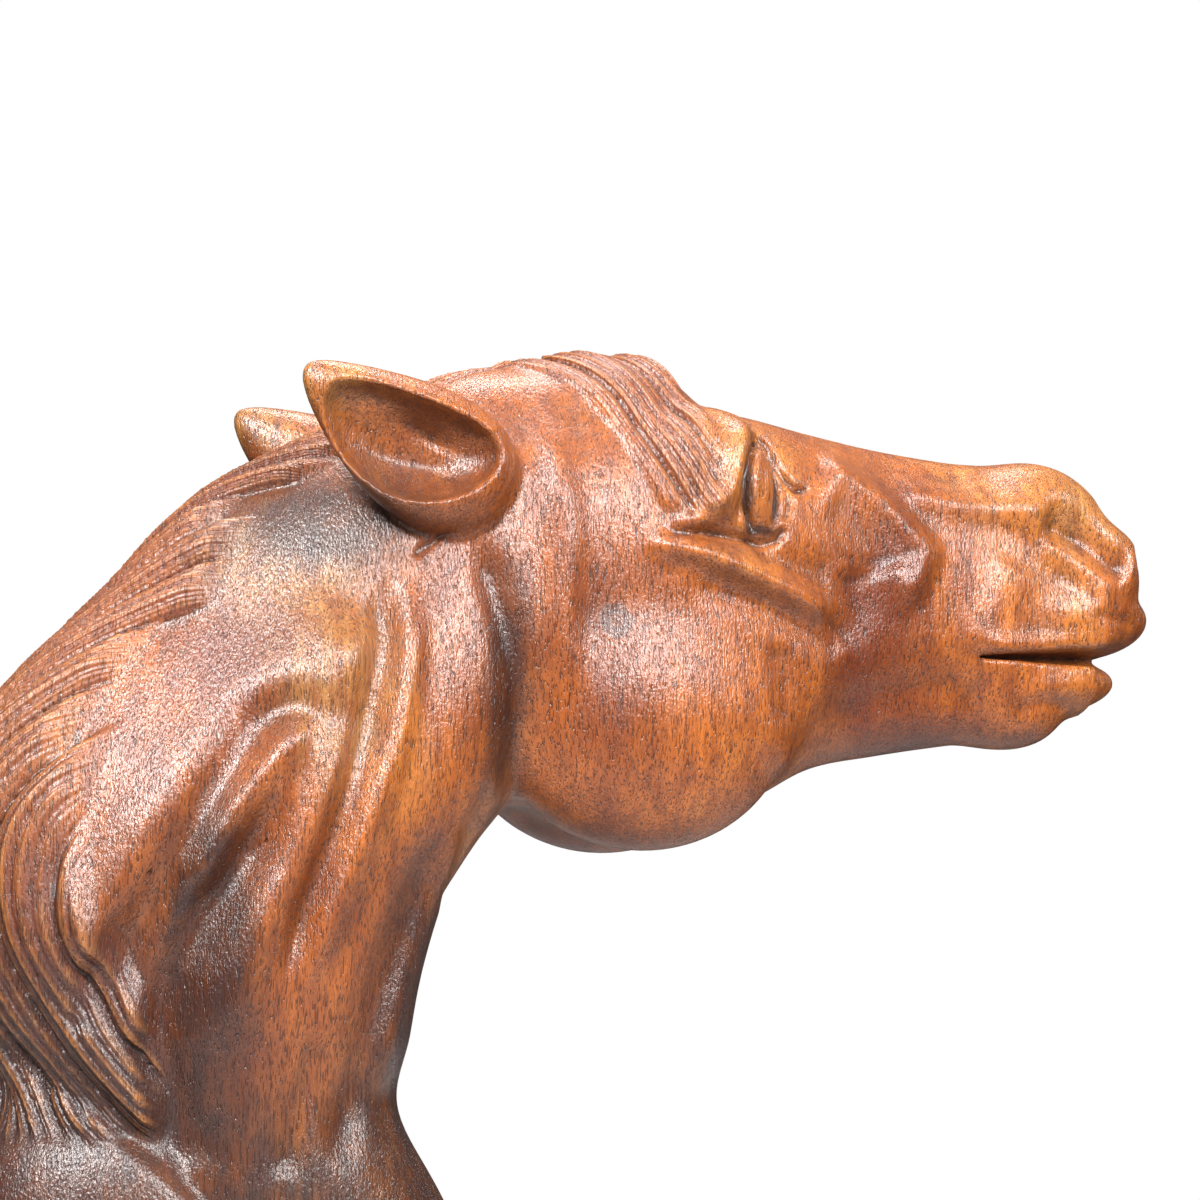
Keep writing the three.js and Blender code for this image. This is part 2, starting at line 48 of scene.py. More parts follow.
# Fine meshing, in carving units
CELL = 3.0  # side of a cell of the grid
NEAREST = 0.1  # the nearest that the surface comes to a point of the grid
LOW = (-330.0, -216.0, -24.0)  # corner of the grid
HIGH = (996.0, 216.0, 1020.0)  # opposite corner
MOST_TRIANGLES = 192000
HALVINGS = 14  # steps of the search for a point's row of the neck
UNTANGLE_ROUNDS = 12

# The neck: crest x, crest z, throat x, throat z, half width, narrowing towards the crest, reach of the mane
NECK = [
    (-80, -90, 300, -90, 150, 0.0, 0),
    (-110, 40, 262, 30, 140, 0.0, 0),
    (-150, 150, 192, 165, 132, 0.05, 60),
    (-200, 248, 147, 250, 130, 0.1, 120),
    (-243, 340, 158, 318, 135, 0.15, 130),
    (-276, 429, 170, 386, 140, 0.2, 120),
    (-282, 516, 190, 450, 143, 0.25, 108),
    (-255, 588, 222, 500, 143, 0.28, 98),
    (-198, 660, 258, 545, 139, 0.3, 92),
    (-124, 733, 288, 600, 133, 0.3, 80),
    (-43, 821, 322, 656, 124, 0.25, 60),
    (51, 878, 345, 716, 112, 0.15, 50),
    (150, 915, 362, 765, 98, 0.1, 42),
]

# The head: x, top z, bottom z, half width, widening towards the top
HEAD = [
    (90, 850, 680, 70, 0.0),
    (180, 916, 610, 104, 0.05),
    (260, 942, 550, 118, 0.1),
    (340, 952, 518, 124, 0.15),
    (420, 944, 512, 126, 0.18),
    (500, 936, 538, 116, 0.15),
    (580, 922, 578, 96, 0.08),
    (660, 910, 594, 80, 0.0),
    (740, 902, 606, 72, 0.0),
    (820, 898, 616, 68, 0.0),
    (890, 870, 640, 62, 0.0),
]


def mass(at, size, soft, turn=(0, 0, 0), taper=0.0, bend=0.0):
    """A rounded mass, with the rows of its rotation. One with y above 0 stands on both sides.

    Turn is in degrees about x, y and z, soft is how far it flows into what it joins, taper narrows it
    along its length, and bend raises its middle.
    """
    (cr, sr), (cp, sp), (cy, sy) = ((math.cos(v), math.sin(v)) for v in map(math.radians, turn))
    around_x = np.array([[1, 0, 0], [0, cr, -sr], [0, sr, cr]])
    around_y = np.array([[cp, 0, -sp], [0, 1, 0], [sp, 0, cp]])
    around_z = np.array([[cy, -sy, 0], [sy, cy, 0], [0, 0, 1]])
    axes = (around_y @ around_z @ around_x).T
    return {"at": at, "size": size, "soft": soft, "taper": taper, "bend": bend, "axes": axes}


MASSES = {
    "base": mass((5, 0, -10), (262, 188, 124), 70),
    "shoulder": mass((-92, 0, 120), (196, 132, 212), 26, (0, -14, 0)),
    "cheek": mass((382, 58, 634), (158, 78, 140), 16),
    "brow": mass((446, 92, 864), (52, 44, 66), 26, (0, 18, 0)),
    "ear root": mass((178, 74, 852), (60, 46, 50), 30),
    "nose end": mass((846, 28, 848), (64, 42, 50), 28, (0, -24, 0)),
    "nostril": mass((899, 42, 797), (53, 36, 46), 20, (0, -34, 0)),
    "upper lip": mass((878, 0, 742), (95, 74, 44), 20),
    "lower lip": mass((842, 0, 668), (92, 60, 31), 12, (0, 5, 0)),
    "chin": mass((806, 0, 640), (58, 46, 34), 22, (0, -6, 0)),
    "forelock": mass((350, 0, 926), (107, 90, 60), 22, (0, 2, 0)),
    "poll": mass((250, 0, 914), (110, 78, 58), 30),
}
EAR = mass((121, 128, 883), (116, 36, 62), 14, (0, 153, 6), 0.42, 10)
EAR_CUP = mass((120, 158, 884), (92, 50, 49), 3, (0, 163, 5), 0.0, 20)
EAR_HOLLOW = mass((142, 148, 880), (58, 38, 15), 6, (0, 158, 5))
EYEBALL = mass((486, 99, 849), (17, 27, 40), 1)
NOSTRIL_HOLE = mass((946, 48, 793), (27, 13, 15), 10, (0, -30, -14))
MOUTH = mass((872, 62, 697), (126, 30, 8), 5, (0, 1, 0), -0.6)

# Carved ridges and grooves on the side of the sculpture: path of points x, z; height, below 0 for a groove;
# and its spread left and right of the path
CARVING = {
    "facial crest": ([(350, 790), (418, 778), (483, 759), (530, 742), (574, 720)], 15, (16, 11)),
    "under the eye": ([(470, 786), (520, 774), (575, 768)], -5, (16, 18)),
    "cheek hollow": ([(575, 700), (600, 735), (590, 780)], -5, (22, 22)),
    "plate": ([(560, 888), (592, 878), (640, 848), (690, 798), (674, 766), (640, 728)], 10, (11, 56)),
    "jaw edge": ([(574, 720), (562, 680), (550, 643), (533, 603), (500, 560)], 8, (24, 60)),
    "behind the jaw": ([(191, 790), (216, 709), (234, 634), (228, 530)], -9, (18, 14)),
    "temple": ([(262, 940), (277, 856), (283, 789), (278, 721), (288, 625)], 7, (18, 18)),
    "eye groove": (
        [
            (494, 806), (476, 806), (465, 830), (465, 856), (474, 884),
            (490, 898), (503, 880), (507, 850), (503, 822), (490, 804),
        ],
        -12,
        (5, 5),
    ),
    "nose ridge": ([(640, 868), (722, 853), (790, 850), (830, 842)], 8, (18, 18)),
    "nostril": ([(818, 840), (850, 829), (872, 815), (900, 794), (926, 787)], -15, (20, 15)),
    "nostril wing": ([(815, 818), (850, 800), (880, 776), (912, 766)], 3, (14, 16)),
    "lip pad": ([(790, 800), (765, 745), (748, 695)], 5, (40, 22)),
    "lip edge": ([(735, 704), (813, 708), (883, 712), (930, 716)], 5, (12, 7)),
    "jaw hollow": ([(560, 622), (649, 656), (716, 668), (770, 648)], -6, (22, 22)),
    "ear fold": ([(135, 806), (175, 796), (214, 816)], 9, (9, 8)),
    "neck ridge A": (
        [(90, 720), (46, 662), (-11, 600), (-84, 518), (-154, 430), (-190, 350)],
        18,
        (34, 52),
    ),
    "neck groove A": (
        [(40, 650), (-18, 600), (-61, 540), (-98, 480), (-135, 400), (-150, 320)],
        -21,
        (20, 24),
    ),
    "neck ridge B": ([(28, 620), (-14, 568), (-55, 505), (-80, 440)], 11, (18, 20)),
    "neck groove B": (
        [(6, 560), (-26, 490), (-62, 440), (-91, 385), (-104, 321), (-82, 245), (-30, 170)],
        -20,
        (24, 22),
    ),
    "neck ridge C": ([(62, 620), (36, 540), (-2, 460), (-28, 380), (-40, 300)], 12, (22, 26)),
    "vein groove": ([(104, 775), (98, 680), (80, 600), (52, 520), (24, 440), (4, 360)], -12, (13, 13)),
    "vein ridge": ([(128, 750), (122, 670), (106, 590), (78, 510), (46, 430), (22, 350)], 11, (15, 14)),
    "throat groove": ([(160, 520), (128, 440), (98, 360), (72, 270), (60, 190)], -9, (20, 18)),
    "throat ridge": ([(186, 520), (160, 440), (128, 350), (104, 260)], 6, (18, 18)),
    "foot of the neck": (
        [(-245, 340), (-190, 285), (-133, 243), (-92, 211), (-50, 168), (10, 110)],
        -10,
        (16, 12),
    ),
    "below the crest": ([(400, 758), (480, 736), (550, 704), (590, 690)], -7, (12, 16)),
    "plate hollow": ([(560, 850), (620, 806), (640, 770)], -5, (26, 26)),
    "brow and upper lid": ([(382, 802), (420, 816), (444, 842), (453, 880), (474, 932)], 11, (12, 12)),
}

# Wrinkles too fine for the solid, in the same form
WRINKLES = {
    "upper nose": ([(600, 900), (680, 880), (760, 872)], -3, (14, 14)),
    "ear crease": ([(150, 784), (136, 770), (161, 789), (190, 805)], -5, (4, 4)),
    "chin line": ([(792, 640), (826, 650), (868, 652)], -3, (9, 8)),
    "cheek furrow": ([(500, 700), (512, 660), (508, 615)], -3, (14, 14)),
    "neck furrow": ([(-140, 440), (-170, 370), (-176, 320)], -6, (12, 12)),
    "shoulder furrow": ([(-120, 330), (-108, 260), (-70, 200)], -5, (10, 10)),
    "lower neck furrow": ([(40, 330), (20, 260), (10, 190)], -6, (14, 14)),
    "throat line": ([(210, 560), (190, 500), (176, 430)], -4, (8, 10)),
    "lid crease": ([(456, 810), (458, 840), (464, 872), (478, 908)], -5, (3.5, 3.5)),
    "below the lobe": ([(374, 797), (420, 800), (466, 796), (490, 794)], -8, (6, 6)),
    "lower lid": ([(462, 800), (480, 791), (502, 797), (516, 814)], -6, (5, 5)),
    "front crease": ([(492, 912), (506, 894), (514, 866), (528, 850), (548, 851)], -8, (4, 4)),
    "front crease point": ([(514, 862), (520, 836), (512, 816)], -5, (4, 4)),
    "plate rim": ([(560, 882), (592, 872), (634, 845), (682, 800), (668, 769), (638, 734)], 3, (6, 10)),
    "upper lip line": ([(876, 742), (905, 738), (935, 735)], -3, (5, 6)),
}

# Ridges in the hollow of the ear, in the same form
EAR_LINES = {
    "upper fold": ([(60, 906), (110, 898), (150, 884), (186, 866)], -3, (7, 10)),
    "lower fold": ([(80, 868), (120, 856), (166, 850)], 2, (7, 8)),
}

# How the sections and masses flow together
NECK_POWER = 2.2  # 2 is an oval section, and more is squarer
HEAD_POWER = 2.4
NECK_TO_HEAD = 34
MIDLINE = (12, 40)  # the carved lines grow between these distances from the middle
LINE_ENDS = (0.18, 0.82)  # shares of a carved line between which it has its full height
EAR_SPAN = 150  # along x, past which the ear isn't worked out
EYE_SPAN = 80
MASS_MARGIN = 30
HOLLOW_MARGIN = 20

# Locks of hair: width of a lock, height above the skin, and how unevenly the locks end
MANE = {
    "lock": 38,
    "height": 19,
    "uneven": 40,
    "from": 2.7,  # row of the neck where it begins
    "round": 118,  # carving units in a radian round the section
    "sweep": 7,  # how much the locks bow
    "level": 5.3,  # row of the neck where they lie level
    "farthest": 200,  # none grows farther round than this
    "edge": 7,  # half the rise at its edge
}
FORELOCK = {
    "lock": 46,
    "height": 12,
    "uneven": 44,
    "pivot": (229, 857),  # x, z that the locks curve round before they fall
    "lean": (0.47, -0.88),  # the way they fall
    "inner": 118,  # from the pivot to the back edge
    "reach": 176,  # from the pivot to the front edge
    "flare": 0.4,  # growth of the reach with the height above the pivot
    "from": 150,  # x where it begins at the poll
    "tip": 836,  # z of the middle of its tips
    "edges": (8, 12, 14),  # half the rise at the tips, at the poll and at the front
}
STRANDS = 4  # strands in a lock
STRAND_DEPTH = 5.5
FRONT_STRAND_DEPTH = 6


def smoothstep(a, b, v):
    """From 0 to 1 as v goes from a to b, flat at both ends."""
    f = np.clip((v - a) / (b - a), 0, 1)
    return f * f * (3 - 2 * f)


def join(a, b, k):
    """Union that flows over a distance of about k."""
    h = np.maximum(k - np.abs(a - b), 0) / k
    return np.minimum(a, b) - h * h * k / 4


def cut(a, b, k):
    """What is left of a when b is cut out, with an edge that is rounded over about k."""
    return -join(-a, b, k)


def along_rows(rows, t):
    """Values at t of a smooth curve through the rows, where whole numbers are the rows."""
    rows = np.array(rows, float)
    last = len(rows) - 1
    i = np.clip(np.floor(t), 0, last - 1).astype(int)
    f = np.clip(t - i, 0, 1)[..., None]
    a, b, c, d = (rows[np.clip(i + k, 0, last)] for k in (-1, 0, 1, 2))
    v0, v1 = (c - a) / 2, (d - b) / 2
    values = (2 * b - 2 * c + v0 + v1) * f**3 + (-3 * b + 3 * c - 2 * v0 - v1) * f**2 + v0 * f + b
    return np.moveaxis(values, -1, 0)


def oval(u, y, h, w, power):
    """Distance to an oval section, where u is from -1 to 1 over a height of 2h, and w is its half width."""
    a, b = np.abs(u), np.abs(y) / w
    r = np.maximum((a**power + b**power) ** (1 / power), 1e-3)
    slope = np.hypot((a / r) ** (power - 1) / h, (b / r) ** (power - 1) / w)
    return (r - 1) / np.maximum(slope, 1e-6)


def neck_place(x, z):
    """Place on the neck of points x, z.

    It is the row, the height u in its section, the section's half height and half width, the reach of
    the mane, and the distance past the first or last row.
    """
    low, high = np.zeros_like(x), np.full_like(x, len(NECK) - 1)

    def side(t):
        cx, cz, tx, tz = along_rows(NECK, t)[:4]
        return (tx - cx) * (z - cz) - (tz - cz) * (x - cx)

    for _ in range(HALVINGS):
        middle = (low + high) / 2
        above = side(middle) > 0
        low, high = np.where(above, middle, low), np.where(above, high, middle)
    t = (low + high) / 2
    cx, cz, tx, tz, width, narrow, reach = along_rows(NECK, t)
    length = np.hypot(tx - cx, tz - cz)
    u = 2 * ((x - cx) * (tx - cx) + (z - cz) * (tz - cz)) / length**2 - 1
    ends = (t < 0.01) | (t > len(NECK) - 1.01)
    beyond = np.where(ends, np.abs(side(t)) / length, 0)
    return t, u, length / 2, width * (1 + narrow * np.clip(u, -1, 1)), reach, beyond


def head_place(x, z):
    """Place on the head of points x, z: the same as on the neck, without row and mane."""
    xs = np.array([row[0] for row in HEAD], float)
    place = np.clip(x, xs[0], xs[-1])
    _, top, bottom, width, widen = along_rows(HEAD, np.interp(place, xs, np.arange(len(xs))))
    half = (top - bottom) / 2
    u = (z - (top + bottom) / 2) / half
    return u, half, width * (1 + widen * np.clip(u, -1, 1)), np.abs(x - place)


def egg(m, x, y, z):
    """Distance to a mass."""
    px, py, pz = x - m["at"][0], (np.abs(y) if m["at"][1] > 0 else y) - m["at"][1], z - m["at"][2]
    along, across, up = (a[0] * px + a[1] * py + a[2] * pz for a in m["axes"])
    length, width, height = m["size"]
    q = along / length
    s = np.clip(1 - m["taper"] * q, 0.15, 2)
    bowed = up - m["bend"] * (1 - q * q)
    b, c = width * s, height * s
    r = np.sqrt(q * q + (across / b) ** 2 + (bowed / c) ** 2)
    slope = np.sqrt((along / length**2) ** 2 + (across / b**2) ** 2 + (bowed / c**2) ** 2)
    return np.where(r < 0.05, -min(m["size"]), r * (r - 1) / np.maximum(slope, 1e-9))


def carving(lines, x, z):
    """Height of the carved lines at x, z."""
    total = np.zeros_like(x)
    for path, height, width in lines.values():
        best, signed, share = np.full_like(x, 1e9), np.zeros_like(x), np.zeros_like(x)
        for i, ((ax, az), (bx, bz)) in enumerate(zip(path, path[1:])):
            dx, dz = bx - ax, bz - az
            f = np.clip(((x - ax) * dx + (z - az) * dz) / (dx * dx + dz * dz), 0, 1)
            ex, ez = x - ax - f * dx, z - az - f * dz
            d = np.hypot(ex, ez)
            nearer = d < best
            best = np.where(nearer, d, best)
            signed = np.where(nearer, dx * ez - dz * ex, signed)
            share = np.where(nearer, (i + f) / (len(path) - 1), share)
        spread = np.where(signed > 0, width[0], width[1])
        fade = smoothstep(0, LINE_ENDS[0], share) * smoothstep(1, LINE_ENDS[1], share)
        total += height * np.exp(-((best / spread) ** 2)) * fade
    return total


def chance(i):
    """A lasting pseudo-random number from 0 to 1 for each whole number."""
    v = np.sin(i * 12.9898 + 4.1) * 43758.5453
    return v - np.floor(v)


def lock_top(place):
    """Height of a lock from its sharp edges to its round middle, as a share; whole numbers are the edges."""
    return 0.35 + 0.65 * np.abs(np.sin(math.pi * place)) ** 0.8


def strand_top(place):
    """Height of the strands in the locks, from 0 to 1; some strands lie deeper than others."""
    q = place * STRANDS
    return np.abs(np.sin(math.pi * q)) ** 0.8 * (0.55 + 0.45 * chance(np.floor(q) + 7))


def mane(neck, y):
    """Height of the mane, how much of a point it covers, and its place across the locks."""
    t, u, _, width, reach, _ = neck
    around = np.arctan2(np.abs(y) / width, -u) * MANE["round"]
    place = (-np.sign(y) * around - MANE["sweep"] * (t - MANE["level"]) ** 2) / MANE["lock"]
    edge = reach + MANE["uneven"] * (chance(np.floor(place)) - 0.5)
    soft = MANE["edge"]
    cover = smoothstep(edge + soft, edge - soft, around) * smoothstep(MANE["from"], MANE["from"] + 0.3, t)
    cover = np.where(around > MANE["farthest"], 0, cover)
    return MANE["height"] * cover * lock_top(place), cover, place


def forelock(x, z):
    """Height of the forelock, how much of a point it covers, and its place across the locks."""
    (px, pz), (lean_x, lean_z) = FORELOCK["pivot"], FORELOCK["lean"]
    inner, start, reach = (FORELOCK[k] for k in ("inner", "from", "reach"))
    at_tip, at_poll, at_front = FORELOCK["edges"]
    down = np.maximum((x - px) * lean_x + (z - pz) * lean_z, 0)
    away = np.hypot(x - px - down * lean_x, z - pz - down * lean_z)
    place = away / FORELOCK["lock"]
    tip = FORELOCK["tip"] + FORELOCK["uneven"] * (chance(np.floor(place) + 40) - 0.5)
    hanging = smoothstep(tip - at_tip, tip + at_tip, z) * smoothstep(inner - at_tip, inner + at_front, away)
    reach = reach + FORELOCK["flare"] * np.maximum(z - pz, 0)
    cover = hanging * smoothstep(start - at_poll, start + at_poll, x)
    cover = cover * smoothstep(reach + at_front, reach - at_front, away)
    return FORELOCK["height"] * cover * lock_top(place), cover, place


def sculpture(neck, head, relief, ear_lines, x, y, z):
    """Distance to the whole sculpture."""
    hair, covered, place = mane(neck, y)
    _, u, half_height, half_width, _, beyond = neck
    d = oval(u, y, half_height, half_width, NECK_POWER)
    d = np.where(beyond > 0, np.hypot(np.maximum(d, 0), beyond), d - hair)
    u, half_height, half_width, beyond = head
    h = oval(u, y, half_height, half_width, HEAD_POWER)
    h = np.where(beyond > 0, np.hypot(np.maximum(h, 0), beyond), h)
    d = join(d, h, NECK_TO_HEAD)
    for m in MASSES.values():
        if abs(x - m["at"][0]) < max(m["size"]) + m["soft"] + MASS_MARGIN:
            d = join(d, egg(m, x, y, z), m["soft"])
    front, front_cover, front_place = forelock(x, z)
    strands = covered * STRAND_DEPTH * (1 - strand_top(place))
    strands = strands + front_cover * FRONT_STRAND_DEPTH * (1 - strand_top(front_place))
    d = d - relief * smoothstep(*MIDLINE, np.abs(y)) - front + strands
    if abs(x - EAR["at"][0]) < EAR_SPAN:
        d = join(d, egg(EAR, x, y, z), EAR["soft"])
        d = cut(d, egg(EAR_CUP, x, y, z) - ear_lines, EAR_CUP["soft"])
        d = cut(d, egg(EAR_HOLLOW, x, y, z), EAR_HOLLOW["soft"])
    if abs(x - EYEBALL["at"][0]) < EYE_SPAN:
        d = join(d, egg(EYEBALL, x, y, z), EYEBALL["soft"])
    for hollow in (NOSTRIL_HOLE, MOUTH):
        if abs(x - hollow["at"][0]) < hollow["size"][0] + HOLLOW_MARGIN:
            d = cut(d, egg(hollow, x, y, z), hollow["soft"])
    return np.maximum(d, -z)


def distances():
    """The distance at each point of the grid, as an array over x, z and y, and the grid's lowest corner."""
    low = np.array([LOW[0], LOW[1], round(LOW[2] / CELL) * CELL - CELL / 2])
    xs, ys, zs = (np.arange(low[k], HIGH[k] + CELL, CELL) for k in range(3))
    x, z = np.meshgrid(xs, zs, indexing="ij")
    neck, head = neck_place(x, z), head_place(x, z)
    relief = carving(CARVING, x, z) + carving(WRINKLES, x, z)
    ear_lines = carving(EAR_LINES, x, z)
    field = np.empty((len(xs), len(zs), len(ys)), np.float32)
    for i, at in enumerate(xs):
        row_neck = [v[i][:, None] for v in neck]
        row_head = [v[i][:, None] for v in head]
        lines = [v[i][:, None] for v in (relief, ear_lines)]
        d = sculpture(row_neck, row_head, *lines, at, ys[None, :], zs[:, None])
        field[i] = np.where(d < 0, np.minimum(d, -NEAREST), np.maximum(d, NEAREST))
    return field, low


def untangle(field):
    """Fills the weakest gap wherever solid touches solid only at an edge, until there is none."""
    for _ in range(UNTANGLE_ROUNDS):
        solid = field < 0
        found = 0
        for p, q in ((0, 1), (0, 2), (1, 2)):
            def corner(values, a, b):
                window = [slice(None)] * 3
                window[p] = slice(a, values.shape[p] - 1 + a)
                window[q] = slice(b, values.shape[q] - 1 + b)
                return values[tuple(window)]

            s = [corner(solid, a, b) for a in (0, 1) for b in (0, 1)]
            places = np.argwhere((s[0] == s[3]) & (s[1] == s[2]) & (s[0] != s[1]))
            found += len(places)
            steps = np.zeros((4, 3), int)
            steps[2:, p] = 1
            steps[1::2, q] = 1
            corners = places[:, None, :] + steps[None]
            values = field[tuple(np.moveaxis(corners, -1, 0))]
            weakest = np.where(values >= 0, values, 1e9).argmin(1)
            chosen = corners[np.arange(len(places)), weakest]
            field[tuple(chosen.T)] = -CELL / 8
        if not found:
            break


def surface(field, low):
    """Points and four-sided faces of the surface where the distance is 0."""
    shape = np.array(field.shape) - 1
    solid = field < 0
    corners = [(a, b, c) for a in (0, 1) for b in (0, 1) for c in (0, 1)]
    count = np.zeros(shape, np.uint8)
    for a, b, c in corners:
        count += solid[a : shape[0] + a, b : shape[1] + b, c : shape[2] + c]
    cells = np.argwhere((count > 0) & (count < 8))
    values = [field[tuple((cells + corner).T)] for corner in corners]
    total, crossings = np.zeros((len(cells), 3)), np.zeros(len(cells))
    for p, a in enumerate(corners):
        for q, b in enumerate(corners):
            if q <= p or sum(abs(u - v) for u, v in zip(a, b)) != 1:
                continue
            crossed = (values[p] < 0) != (values[q] < 0)
            span = np.where(crossed, values[p] - values[q], 1)
            f = (values[p] / span)[:, None]
            total += np.where(crossed[:, None], np.array(a) + f * (np.array(b) - a), 0)
            crossings += crossed
    points = (cells + total / crossings[:, None])[:, [0, 2, 1]] * CELL + low
    number = np.full(shape, -1, np.int32)
    number[tuple(cells.T)] = np.arange(len(cells))
    faces = []
    for axis in range(3):
        p, q = [k for k in range(3) if k != axis]
        window = [slice(1, n) for n in shape]
        ahead = list(window)
        ahead[axis] = slice(2, shape[axis] + 1)
        here, there = solid[tuple(window)], solid[tuple(ahead)]
        places = np.argwhere(here != there) + 1
        leaving = here[here != there]
        back_p, back_q = np.zeros(3, int), np.zeros(3, int)
        back_p[p], back_q[q] = 1, 1
        around = [places - back_p - back_q, places - back_q, places, places - back_p]
        quads = np.stack([number[tuple(v.T)] for v in around], 1)
        turned = leaving if axis == 1 else ~leaving
        faces.append(np.where(turned[:, None], quads, quads[:, ::-1]))
    return points, np.concatenate(faces)


def mesh_of(points, faces):
    mesh = bpy.data.meshes.new("carved_horse_head")
    mesh.from_pydata(points * UNIT, [], faces.tolist())
    return mesh


def thinned(mesh, most):
    """The mesh with the flattest faces merged until few enough triangles are left."""
    rough = bpy.data.objects.new("rough_carving", mesh)
    bpy.context.scene.collection.objects.link(rough)
    decimate = rough.modifiers.new("thin", "DECIMATE")
    decimate.ratio = most / (2 * len(mesh.polygons))
    evaluated = rough.evaluated_get(bpy.context.evaluated_depsgraph_get())
    thin = bpy.data.meshes.new_from_object(evaluated)
    bpy.data.objects.remove(rough)
    bpy.data.meshes.remove(mesh)
    thin.name = "carved_horse_head"
    return thin


def positions(mesh):
    """Its points, in metres."""
    values = np.empty(3 * len(mesh.vertices))
    mesh.vertices.foreach_get("co", values)
    return values.reshape(-1, 3)


def hollowness(mesh, rounds):
    """How far each point lies below its surroundings, in carving units, after rounds of smoothing."""
    points = positions(mesh) / UNIT
    edges = np.empty(2 * len(mesh.edges), np.int32)
    mesh.edges.foreach_get("vertices", edges)
    a, b = edges.reshape(-1, 2).T
    normals = np.empty(3 * len(mesh.vertices))
    mesh.vertex_normals.foreach_get("vector", normals)
    count = np.bincount(edges, minlength=len(points))
    smooth = points.copy()
    for _ in range(rounds):
        for k in range(3):
            total = np.bincount(a, smooth[b, k], len(points)) + np.bincount(b, smooth[a, k], len(points))
            smooth[:, k] = (smooth[:, k] + total / count) / 2
    return ((smooth - points) * normals.reshape(-1, 3)).sum(1)


FINE_ROUNDS = 6  # rounds of smoothing that leave grooves between strands
BROAD_ROUNDS = 60  # rounds that leave creases and hollows
PATCH_STRENGTH = 1.5

# Soft patches on the side: centre x, z and half widths, in carving units. The dark ones are painted shade in
# creases, under the ear, at the throat, behind the cheek and round the eye, and painted shade over dark
# stain at the foot of the neck and mane.
SHADE_AND_STAIN_PATCHES = {
    "foot of the mane": (-245, 200, 190, 230),
    "foot of the neck": (-30, 40, 330, 190),
    "front of the foot": (170, 190, 90, 120),
    "behind the ear": (52, 796, 78, 44),
    "throat": (155, 330, 50, 150),
    "neck furrow": (-62, 430, 36, 100),
    "behind the cheek": (222, 640, 24, 110),
    "back of the eye": (468, 846, 4, 32),
    "front of the eye": (504, 848, 4, 32),
    "below the eye": (484, 806, 18, 5),
}
PALE_PATCHES = {
    "below the ear": (6, 762, 70, 44),
    "upper neck": (60, 640, 50, 80),
    "nose": (900, 860, 60, 40),
    "far ear": (30, 930, 50, 30),
}


def patches(table, x, z):
    """How far points lie in the patches of a table, from 0 to 1."""
    total = np.zeros_like(x)
    for px, pz, wide, tall in table.values():
        total += np.exp(-(((x - px) / wide) ** 2) - ((z - pz) / tall) ** 2)
    return np.clip(PATCH_STRENGTH * total, 0, 1)


def store(mesh, name, values):
    """Keeps a value for each point, under a name that the material reads."""
    mesh.attributes.new(name, "FLOAT", "POINT").data.foreach_set("value", values.astype(np.float32))


def paint(mesh):
    """Writes what the wood's material reads: hair, its strands, grooves and hollows for painted shade,
    patches of painted shade with some stain, and pale patches.
    """
    x, y, z = (positions(mesh) / UNIT).T
    neck = neck_place(x, z)
    _, neck_cover, neck_strand = mane(neck, y)
    _, front_cover, front_strand = forelock(x, z)
    store(mesh, "hair", np.maximum(neck_cover, front_cover))
    store(mesh, "strand", np.where(front_cover > neck_cover, front_strand, neck_strand))
    # the grooves and hollows are read by the material as painted shade, and raised tops of the locks as
    # lighter
    store(mesh, "groove", hollowness(mesh, FINE_ROUNDS))
    store(mesh, "hollow", hollowness(mesh, BROAD_ROUNDS))
    # patches of painted shade, with dark stain under it at the foot
    store(mesh, "dark", patches(SHADE_AND_STAIN_PATCHES, x, z))
    store(mesh, "pale", patches(PALE_PATCHES, x, z))


def carve():
    """The carved piece, with what its material reads."""
    field, low = distances()
    untangle(field)
    mesh = thinned(mesh_of(*surface(field, low)), MOST_TRIANGLES)
    mesh.shade_smooth()
    paint(mesh)
    piece = bpy.data.objects.new("carved_horse_head", mesh)
    bpy.context.scene.collection.objects.link(piece)
    return piece


